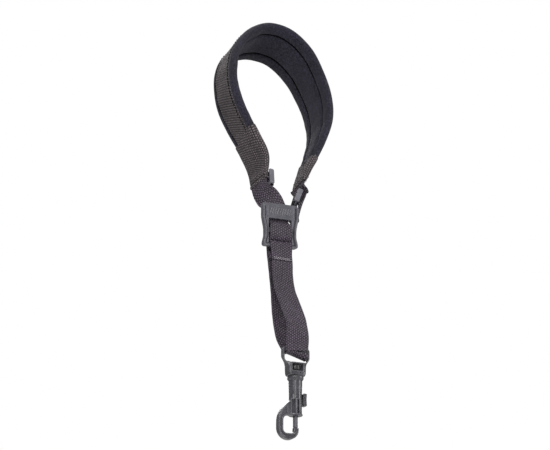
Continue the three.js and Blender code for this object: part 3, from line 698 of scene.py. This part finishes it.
def make_drop_loop():
    rear_top = BEHIND + 2 * LAYER
    rear = webbing("rear_leg", [
        web_at(0, rear_top, REAR_TOP_Z), web_at(0, rear_top, JUNCTION_FOOT - 2),
        web_at(0.3, BEHIND + 1.6, -26), web_at(1, BEHIND + 2.4, -45), web_at(4.2, 4.2, -85),
        web_at(6.2, 2.0, -122), web_at(8.6, 0.4, -137),
        web_at(12.4, -5.4 + TURN["radius"], TURN["z"] + 7, TURN["across"], TURN["half"]),
        web_at(14.5, -6 + TURN["radius"], LEG_FOOT_Z, TURN["across"], 12)], seed=7)
    dress(rear, None, WEBBING, "webbing", "drop_strap_rear")
    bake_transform(rear)

    front = -BEHIND
    fold = webbing("end_fold", [
        web_at(0.7, front - 1.3, STITCH_Z - 2.5, TURNED), web_at(0.5, front - 0.5, -51, TURNED),
        web_at(0.2, front, -42.2),
        web_at(0.2, front * 0.78, -39.9), web_at(0.2, 0, -39.3), web_at(0.2, -front * 0.78, -39.9),
        web_at(0.2, -front, -42.2), web_at(0.2, -front + 0.1, -46.5), web_at(0.3, 0, -52.5),
        web_at(0.3, front + 0.95, STITCH_Z - 0.5)], seed=8)
    dress(fold, "adjuster", WEBBING, "webbing", "strap_end_fold")

    leg = webbing("front_leg", [
        web_at(0.8, front - 1.4, STITCH_Z - 3, TURNED), web_at(1.3, -5.6, -77.3, TURNED),
        web_at(2.8, -7.5, -91, TURNED), web_at(6.6, -10, -104, (0.97, 0.08, -0.12)),
        web_at(12, -13, -121.6, (0.95, 0.1, -0.1)), web_at(13.6, -14, -137, (0.95, 0.02, -0.16)),
        web_at(14.2, -6.8 - TURN["radius"], TURN["z"] + 5, TURN["across"], TURN["half"]),
        web_at(14.7, -6 - TURN["radius"], LEG_FOOT_Z, TURN["across"], TURN["half"])], seed=9)
    dress(leg, "drop_loop", WEBBING, "webbing", "drop_strap_front")
    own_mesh(leg)

    stations = []
    for angle in np.arange(-TURN["foot"], -180 + TURN["foot"] - 0.1, -26):
        a = math.radians(angle)
        y, z = -6 + TURN["radius"] * math.cos(a), TURN["z"] + TURN["radius"] * math.sin(a)
        stations.append(web_at(15, y, z, TURN["across"], TURN["half"]))
    turn = webbing("strap_turn_web", stations, seed=10, per_mm=3)
    dress(turn, "drop_loop", WEBBING, "webbing", "strap_turn")

    face = -ADJUSTER_DEPTH / 2 - 0.5 - WEB_THICK / 2
    weave = webbing("buckle_webbing", [
        web_at(-0.3, 2.3, -15.5, half=11.3), web_at(-0.3, 1.0, -18.4, half=11.4),
        web_at(-0.2, -1.8, -20.6, half=11.6), web_at(0, face, -24.6),
        web_at(0, face, -31.4), web_at(0, -1.8, -36.0), web_at(0, 1.2, -39.4)], seed=11, per_mm=3)
    dress(weave, "adjuster", WEBBING, "webbing", "adjuster_weave")

    out = vec(0, -1, 0)
    y = front - 1.1 - WEB_THICK / 2 - 0.1
    pairs = []
    for row, z in ((0, STITCH_Z), (1, STITCH_Z - 1.3)):
        for at in np.arange(-10.6 + row * 1.2, 9.4, 2.5):
            a = DROP + vec(at + 0.6, y + 0.12 * at, z)
            pairs.append((a, a + vec(2.1, 0.25, 0), out))
    dress(stitch_run("fold_thread", pairs, 0.36, 0.25), "adjuster", PALE_THREAD, "thread", "fold_stitch")
    pairs = []
    back = rear_top + WEB_THICK / 2 + 0.1
    for k in range(30):
        heights = (-13.6, -11.3) if k % 2 else (-11.3, -13.6)
        a, b = (DROP + vec(-9 + (k + n) * 0.6, back, z) for n, z in enumerate(heights))
        pairs.append((a, b, vec(0, 1, 0)))
    dress(stitch_run("junction_thread", pairs, 0.28, 0.3), "neck_loop", THREAD, "thread", "junction_bartack")


# ---------------------------------------------------------------- moulded parts
class Field:
    """Distances to a solid at the points of a grid, in millimetres; negative is inside."""

    def __init__(self, low, high, pitch):
        self.low, self.pitch = np.array(low, float), pitch
        axes = [np.arange(a, b + pitch, pitch) for a, b in zip(low, high)]
        self.x, self.y, self.z = np.meshgrid(*axes, indexing="ij", sparse=True)


def meet(a, b, soft=0.0):
    """What is inside both, with an inner edge rounded by about soft."""
    if not soft:
        return np.maximum(a, b)
    h = np.clip(soft - np.abs(a - b), 0, None) / soft
    return np.maximum(a, b) + h * h * soft / 4


def join(a, b, soft=0.0):
    return -meet(-a, -b, soft)


def cut(a, b, soft=0.0):
    return meet(a, -b, soft)


def block(x, y, z, centre, half, radius):
    """A box with rounded edges."""
    q = [np.abs(v - c) - (h - radius) for v, c, h in zip((x, y, z), centre, half)]
    outside = np.sqrt(sum(np.maximum(v, 0) ** 2 for v in q))
    return outside + np.minimum(np.maximum(np.maximum(q[0], q[1]), q[2]), 0) - radius


def rounded(a, b, radius):
    """What is inside both distances, with their outer corner rounded."""
    return np.sqrt(np.maximum(a, 0) ** 2 + np.maximum(b, 0) ** 2) + np.minimum(np.maximum(a, b), 0) - radius


def slab(plan, height, half, radius):
    """A flat outline, given by its distances, with a depth to each side and rounded edges."""
    a, b = plan + radius, np.abs(height) - half + radius
    return rounded(a, b, radius)


def rect(u, v, centre, half, radius):
    a = np.abs(u - centre[0]) - half[0] + radius
    b = np.abs(v - centre[1]) - half[1] + radius
    return rounded(a, b, radius)


def drum(x, y, z, radius, foot, top, rounding):
    """An upright cylinder with rounded rims."""
    return slab(np.sqrt(x**2 + y**2) - radius, z - (foot + top) / 2, (top - foot) / 2, rounding)


def step(value, low, high):
    t = np.clip((value - low) / (high - low), 0, 1)
    return t * t * (3 - 2 * t)


def outline_distance(points, u, v):
    """Distances in the plane to a closed outline."""
    best = np.full(np.broadcast(u, v).shape, np.inf)
    inside = np.zeros(best.shape, bool)
    for (x0, y0), (x1, y1) in zip(points, points[1:] + points[:1]):
        dx, dy = x1 - x0, y1 - y0
        t = np.clip(((u - x0) * dx + (v - y0) * dy) / (dx * dx + dy * dy), 0, 1)
        best = np.minimum(best, np.hypot(u - x0 - t * dx, v - y0 - t * dy))
        if y0 != y1:
            crosses = (v > min(y0, y1)) & (v <= max(y0, y1)) & (u < x0 + (v - y0) / (y1 - y0) * dx)
            inside ^= crosses
    return np.where(inside, -best, best)


def cast(name, field, distance, place):
    """The surface of a solid as a mesh; place carries the grid's points into the strap's frame."""
    limit = 3 * field.pitch
    shape = np.broadcast(field.x, field.y, field.z).shape
    values = np.clip(np.broadcast_to(distance, shape), -limit, limit)
    grid = openvdb.FloatGrid(limit)
    grid.copyFromArray(np.ascontiguousarray(values, np.float32))
    points, quads = grid.convertToQuads(0.0)
    obj = finish_mesh(name, place(points * field.pitch + field.low), quads.tolist())
    face_outwards(obj)
    return obj


def in_drop(points):
    return points + DROP


def in_snap(points):
    return points + SNAP


def make_adjuster():
    f = Field((-21.5, -5, -47), (21.5, 4, 2), 0.3)
    x, y, z = f.x, f.y, f.z
    width = 19.9 - 2.45 * step(-z, 12.5, 29) + 1.8 * step(-z, 33, 42.5)
    corner = 2.4
    u, v = np.abs(x) - width + corner, np.abs(z + 22.5) - 22.5 + corner
    plan = rounded(u, v, corner)
    body = slab(plan, y, 2.5, 0.7)
    rail = slab(np.maximum(plan, -(plan + 1.9)), y + 2.5, 1.5, 0.5)
    rail = np.where(z > -1.2, 9.0, rail)
    body = join(body, meet(rail, z + 2.0, 1.0), 0.5)
    groove = slab(np.abs(plan + 2.8) - 0.55, y + 2.5, 1.2, 0.2)
    body = cut(body, meet(meet(groove, z + 3.5), -(z + 42.0)), 0.35)
    windows = join(rect(x, z, (0, -20.55), (13, 4.95), 1.0), rect(x, z, (0, -35.65), (13, 5.15), 1.0))
    body = cut(body, windows + 0 * y, 0.9)
    for k in range(9):
        lean = x - (k - 4) * 2.7 - (z + 8) * 0.28
        rib = slab(rect(lean, z, (0, -8), (0.5, 3.3), 0.4), y + 2.5, 0.6, 0.25)
        body = join(body, rib, 0.25)
    border = slab(np.abs(rect(x, z, (0, -8), (14.4, 5.2), 1.5)) - 0.28, y + 2.5, 0.25, 0.15)
    body = join(body, border, 0.25)
    piece = cast("adjuster_buckle", f, body, in_drop)
    dress(piece, "adjuster", BUCKLE, "plastic", "adjuster_frame")


SLIDER = {"half": 16, "rise": 8, "depth": 4.2}
SLIDER_LIFT = -(WEB_THICK / 2 + 1.1 + 0.4 + 0.3 + SLIDER["depth"] / 2 + 0.8)


def make_slider(side, point, tangent, width, inner_cloth):
    width = unit(width - tangent * (width @ tangent))
    outward = np.cross(width, tangent)
    basis = np.array([width, -outward, tangent])
    half, rise, depth = SLIDER["half"], SLIDER["rise"], SLIDER["depth"] / 2
    f = Field((-half - 1, -depth - 1.2, -rise - 1), (half + 1, depth + 1.2, rise + 1), 0.25)
    x, y, z = f.x, f.y, f.z
    body = slab(rect(x, z, (0, 0), (half - 1.5, rise - 0.6), 3.2), y, depth - 0.7, 0.75)
    ends = slab(rect(np.abs(x), z, (half - 1.5, 0), (1.5, rise + 0.6), 1.4), y, depth + 0.7, 1.5)
    body = join(body, ends, 0.8)
    waist = slab(rect(x, z, (0, 0), (half - 3.4, 1.5), 1.2), y, depth, 0.8)
    body = join(body, waist, 0.6)
    for sign in (-1, 1):
        body = cut(body, rect(x, z, (0, sign * 3.1), (12.8, 1.6), 0.8) + 0 * y, 0.6)
    piece = cast(f"side_slider_{side}", f, body, lambda p: p @ basis + point)
    dress(piece, f"slider_{side}", SLIDER_PLASTIC, "plastic", f"slider_{side}")
    face = -depth - 0.3 - WEB_THICK / 2
    places = ((-rise - 0.5, face - 0.1), (-rise / 2, face - 0.4), (0, face - 0.6), (rise / 2, face - 0.4),
              (rise + 0.5, face - 0.1))
    stations = [(point + tangent * a + outward * b, width, WEB_HALF, WEB_THICK) for a, b in places]
    web = webbing(f"slider_webbing_{side}", stations, per_mm=5, seed=13)
    dress(web, f"slider_{side}", inner_cloth, "webbing", f"slider_web_{side}")


def make_sliders():
    point, tangent, width, outward = end_frame(True)
    make_slider("left", point - tangent * 1.4 + outward * SLIDER_LIFT, tangent, width, WEBBING)
    right_tangent = unit(loop_plane(-0.47, -0.883))
    make_slider("right", vec(22.3, 7.5, 4.6) - ORIGIN, right_tangent, RIGHT_TWIST, COVER)


def make_eye():
    f = Field((-17.5, -7.5, -180), (17.5, 7.5, -146.5), 0.28)
    x, y, z = f.x, f.y, f.z
    reach = 15.6 - 6.0 * step(-z, 158.5, 169)
    swell = 2.15 + 2.6 * step(-z, 161, 169)
    plan = rect(x / reach * 15.6, z, (0, -163), (15.6, 14.9), 4.0)
    body = slab(plan, y, swell, 1.3)
    body = cut(body, rect(x, z, (0, -157.9), (12.7, 5.9), 3.4) + 0 * y, 1.0)
    bar = np.sqrt(np.maximum(np.abs(x) - 11.5, 0) ** 2 + (y / 0.9) ** 2 + (z - EYE_BAR_Z) ** 2) - 2.3
    body = join(body, bar, 1.0)
    waist = 9.9 - 0.7 * step(-z, 166, 178)
    cup = slab(rect(x / waist * 9.5, y, (0, 0), (9.5, 6.0), 3.6), z + 171.4, 6.8, 1.3)
    body = join(body, cup, 2.2)
    frame_rim = slab(np.abs(rect(x, z, (0, -169.5), (6.9, 4.3), 1.6)) - 0.5, y + 5.9, 0.5, 0.3)
    body = join(body, frame_rim, 0.4)
    body = cut(body, slab(rect(x, z, (0, -169.5), (5.9, 3.5), 1.2), y, 9, 0.1), 0.6)
    groove = np.sqrt((np.sqrt((x * 0.9) ** 2 + (y * 1.28) ** 2) - 7.75) ** 2 + (z + 175.4) ** 2) - 0.6
    body = cut(body, groove, 0.4)
    body = cut(body, drum(x, y, z, 2.8, -180, -172, 0.1), 0.3)
    piece = cast("swivel_eye_body", f, body, in_snap)
    dress(piece, "eye", SNAP_PLASTIC, "plastic", "swivel_eye")

    f = Field((-6, -6, -188), (6, 6, -165.5), 0.25)
    x, y, z = f.x, f.y, f.z
    head = drum(x, y, z, 4.9, -172.4, -166.6, 1.3)
    body = join(head, drum(x, y, z, 2.4, -186, -170, 0.4), 0.6)
    body = join(body, drum(x, y, z, 2.7, -187, -185, 0.4), 0.3)
    body = cut(body, drum(x, y, z, 1.3, -167.8, -165, 0.2), 0.3)
    piece = cast("rivet", f, body, in_snap)
    dress(piece, "snap", SOCKET_PLASTIC, "plastic", "swivel_rivet")


HOOK = {"left": -20.4, "right": 3, "radius": 11.7, "centre_z": -233, "band": 5.4, "tip": -231.9,
        "seat": -238.3, "corner": 4, "shoulder": -203, "throat": -219}


def arc(centre, radius, start, end, steps=12):
    return [(centre[0] + radius * math.cos(a), centre[1] + radius * math.sin(a))
            for a in np.linspace(math.radians(start), math.radians(end), steps)]


def bend(*points, steps=10):
    """A Bezier curve's points."""
    out = []
    for t in np.linspace(0, 1, steps):
        row = [np.array(p, float) for p in points]
        while len(row) > 1:
            row = [a + (b - a) * t for a, b in zip(row, row[1:])]
        out.append(tuple(row[0]))
    return out


def hook_outline():
    h = HOOK
    middle = (h["left"] + h["right"]) / 2
    mouth_left, mouth_right = h["left"] + h["band"], h["right"] - h["band"]
    shoulder, throat, corner = h["shoulder"], h["throat"], h["corner"]
    points = [(0, shoulder)]
    points += bend((-5, shoulder), (-12, shoulder - 5), (h["left"], throat + 3), (h["left"], throat - 7))
    points += arc((middle, h["centre_z"]), h["radius"], 180, 360, 28)
    points += [(h["right"], h["tip"]), (mouth_right, h["tip"])]
    points += arc((mouth_right - corner, h["seat"] + corner), corner, 0, -90, 8)
    points += arc((mouth_left + corner, h["seat"] + corner), corner, 270, 180, 8)
    points += bend((mouth_left, throat - 7), (mouth_left, throat), (-5, throat))
    return points + [(0, throat)]


def make_hook():
    f = Field((-21.5, -9.2, -246), (9.4, 9.2, -177), 0.32)
    x, y, z = f.x, f.y, f.z
    radius = 7.0 - 0.35 * step(-z, 184, 200)
    round_distance = np.sqrt(x**2 + y**2)
    barrel = slab(round_distance - radius, z + 200.5, 19.1, 1.1)
    flange = drum(x, y, z, 8.4, -182.2, -178.4, 1.5)
    body = join(barrel, flange, 1.6)
    lip = np.sqrt((round_distance - 6.6) ** 2 + (z + 218.4) ** 2) - 0.9
    body = join(body, lip, 0.7)
    plan = outline_distance(hook_outline(), x[:, 0, :], z[0, 0, :][None])[:, None, :]
    at_tip = step(z, -241, -233.5) * step(x, -4.5, -2.4)
    plate = slab(plan, y, 3.5 - 1.1 * at_tip, 0.8)
    recess = slab(plan + 1.7, np.abs(y) - 3.7, 1.3, 0.3)
    recess = meet(recess, 11.5 - np.sqrt(x**2 + (z + 212) ** 2), 0.6)
    recess = meet(recess, 7.0 - np.sqrt((x - 0.3) ** 2 + (z + 231.0) ** 2), 0.6)
    plate = cut(plate, recess, 0.5)
    body = join(body, plate, 1.2)
    for centre, half, deep in ((-4.2, 1.0, 3.3), (0.3, 1.1, 4.0)):
        channel = meet(np.abs(x - centre) - half, meet(z + 203.2, -(z + 217.2)))
        body = cut(body, meet(channel, y + deep), 0.5)
    for centre, half, out in ((-2.3, 0.9, 6.2), (-6.0, 0.4, 3.3)):
        ridge = slab(rect(x, z, (centre, -210.6), (half, 8.4), 0.7), y + out, 1.3, 0.5)
        body = join(body, ridge, 0.5)
    body = cut(body, drum(x, y, z, 3.0, -222, -184.6, 0.2), 0.25)
    body = cut(body, drum(x, y, z, 2.7, -186, -177, 0.1), 0.25)
    body = cut(body, block(x, y, z, (5.5, 0, -200.2), (5.5, 1.8, 9.0), 0.5), 0.4)
    piece = cast("snap_hook", f, body, in_snap)
    dress(piece, "snap", SNAP_PLASTIC, "plastic", "hook_body")

    f = Field((-3.6, -3.6, -233), (3.6, 3.6, -205), 0.22)
    x, y, z = f.x, f.y, f.z
    pin = drum(x, y, z, 2.5, -231.6, -206, 0.7)
    groove = np.sqrt((np.sqrt(x**2 + y**2) - 2.6) ** 2 + (z + 227.6) ** 2) - 0.35
    piece = cast("bolt_pin", f, cut(pin, groove, 0.3), in_snap)
    dress(piece, "bolt", SNAP_PLASTIC, "plastic", "bolt")

    f = Field((2, -4.6, -210), (13, 4.6, -194), 0.22)
    x, y, z = f.x, f.y, f.z
    stem = block(x, y, z, (5.8, 0, -205.85), (3.0, 1.5, 2.85), 0.4)
    paddle = block(x, y, z, (9.75, 0, -202), (2.2, 3.5, 6.6), 1.3)
    dish = np.sqrt((x - 15.6) ** 2 + (z + 202) ** 2 * 0.25) - 4.3
    body = join(stem, cut(paddle, dish + 0 * y, 0.6), 0.8)
    for k in range(6):
        at = -206.8 + k * 1.9
        notch = np.sqrt((np.abs(y) - 3.7) ** 2 + (z - at) ** 2) - 0.55
        body = cut(body, notch + 0 * x, 0.25)
        body = cut(body, np.sqrt((x - 12.0) ** 2 + (z - at) ** 2) - 0.5 + 0 * y, 0.25)
    piece = cast("thumb_tab_grip", f, body, in_snap)
    dress(piece, "bolt", SNAP_PLASTIC, "plastic", "thumb_tab")


def make_spring():
    turns, radius, wire, foot, top = 6, 2.1, 0.35, -205.6, -187.4
    rings = []
    along = []
    for t in np.linspace(0, 1, turns * 28 + 1):
        angle = 2 * math.pi * turns * t
        height = foot + wire + (top - foot - 2 * wire) * t
        centre = vec(radius * math.cos(angle), radius * math.sin(angle), height)
        out = vec(math.cos(angle), math.sin(angle), 0)
        ring = [centre + wire * (math.cos(a) * out + math.sin(a) * vec(0, 0, 1))
                for a in np.linspace(0, 2 * math.pi, 10, endpoint=False)]
        rings.append(ring)
        along.append(t * turns * 2 * math.pi * radius)
    piece = tube("bolt_coil", in_snap(np.array(rings)), along)
    dress(piece, "snap", WIRE, "spring_steel", "bolt_spring")
    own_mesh(piece)


# ---------------------------------------------------------------- stage, light and camera
def make_stage():
    bpy.ops.mesh.primitive_circle_add(vertices=128, radius=1.2, fill_type="NGON",
                                      location=(0, -0.05, -0.76))
    floor = bpy.context.object
    floor.name = "floor"
    floor.data.materials.append(painted_floor("floor_paint"))

    world = bpy.data.worlds.new("studio")
    bpy.context.scene.world = world
    world.use_nodes = True
    tree = world.node_tree
    back = tree.nodes["Background"]
    back.inputs["Color"].default_value = (1, 1, 1, 1)
    path = tree.nodes.new("ShaderNodeLightPath")
    level = tree.nodes.new("ShaderNodeMapRange")
    level.inputs["To Min"].default_value = 0.3
    level.inputs["To Max"].default_value = 1.0
    tree.links.new(path.outputs["Is Camera Ray"], level.inputs["Value"])
    tree.links.new(level.outputs[0], back.inputs["Strength"])


def lamp(name, place, aim, size, power):
    data = bpy.data.lights.new(name, "AREA")
    data.shape = "RECTANGLE"
    data.size, data.size_y = size
    data.energy = power
    obj = bpy.data.objects.new(name, data)
    bpy.context.scene.collection.objects.link(obj)
    obj.location = place
    obj.rotation_euler = (Vector(aim) - Vector(place)).to_track_quat("-Z", "Y").to_euler()
    obj.visible_camera = False


def make_lights():
    middle = (-0.01, -0.05, -0.2)
    lamp("key", (-1.2, -1.2, 0.7), middle, (0.35, 0.9), 26)
    lamp("front", (-0.72, -1.75, -0.1), middle, (0.2, 1.3), 9)
    lamp("fill", (1.3, -1.0, 0.1), middle, (0.5, 1.2), 14)
    lamp("top", (0.1, 0.2, 1.3), middle, (1.2, 1.2), 14)
    lamp("rim", (0.5, 1.3, 0.4), middle, (1.0, 1.0), 12)


VIEW_WIDTH = 0.5555
CAMERA_DISTANCE = 18.0
TOWARDS_CAMERA = Vector((-0.4405, -0.8645, -0.2419))
RIGHT = Vector((0.891, -0.454, 0))
UP = Vector((-0.1098, -0.2155, 0.9703))
AIM = Vector((-0.014, -0.06817, -0.1843)) - 0.00434 * RIGHT - 0.0206 * UP


def make_camera():
    data = bpy.data.cameras.new("camera")
    data.sensor_width = 36
    data.lens = 36 * CAMERA_DISTANCE / VIEW_WIDTH
    data.clip_end = 60
    camera = bpy.data.objects.new("camera", data)
    bpy.context.scene.collection.objects.link(camera)
    camera.location = AIM + TOWARDS_CAMERA.normalized() * CAMERA_DISTANCE
    camera.rotation_euler = (-TOWARDS_CAMERA).to_track_quat("-Z", "Y").to_euler()
    bpy.context.scene.camera = camera
    bpy.context.scene.view_settings.view_transform = "Standard"


make_pad()
for end in ("left", "right"):
    sleeve(end)
    hem(end)
make_side_straps()
make_drop_loop()
make_adjuster()
make_sliders()
make_eye()
make_hook()
make_spring()
make_stage()
make_lights()
make_camera()
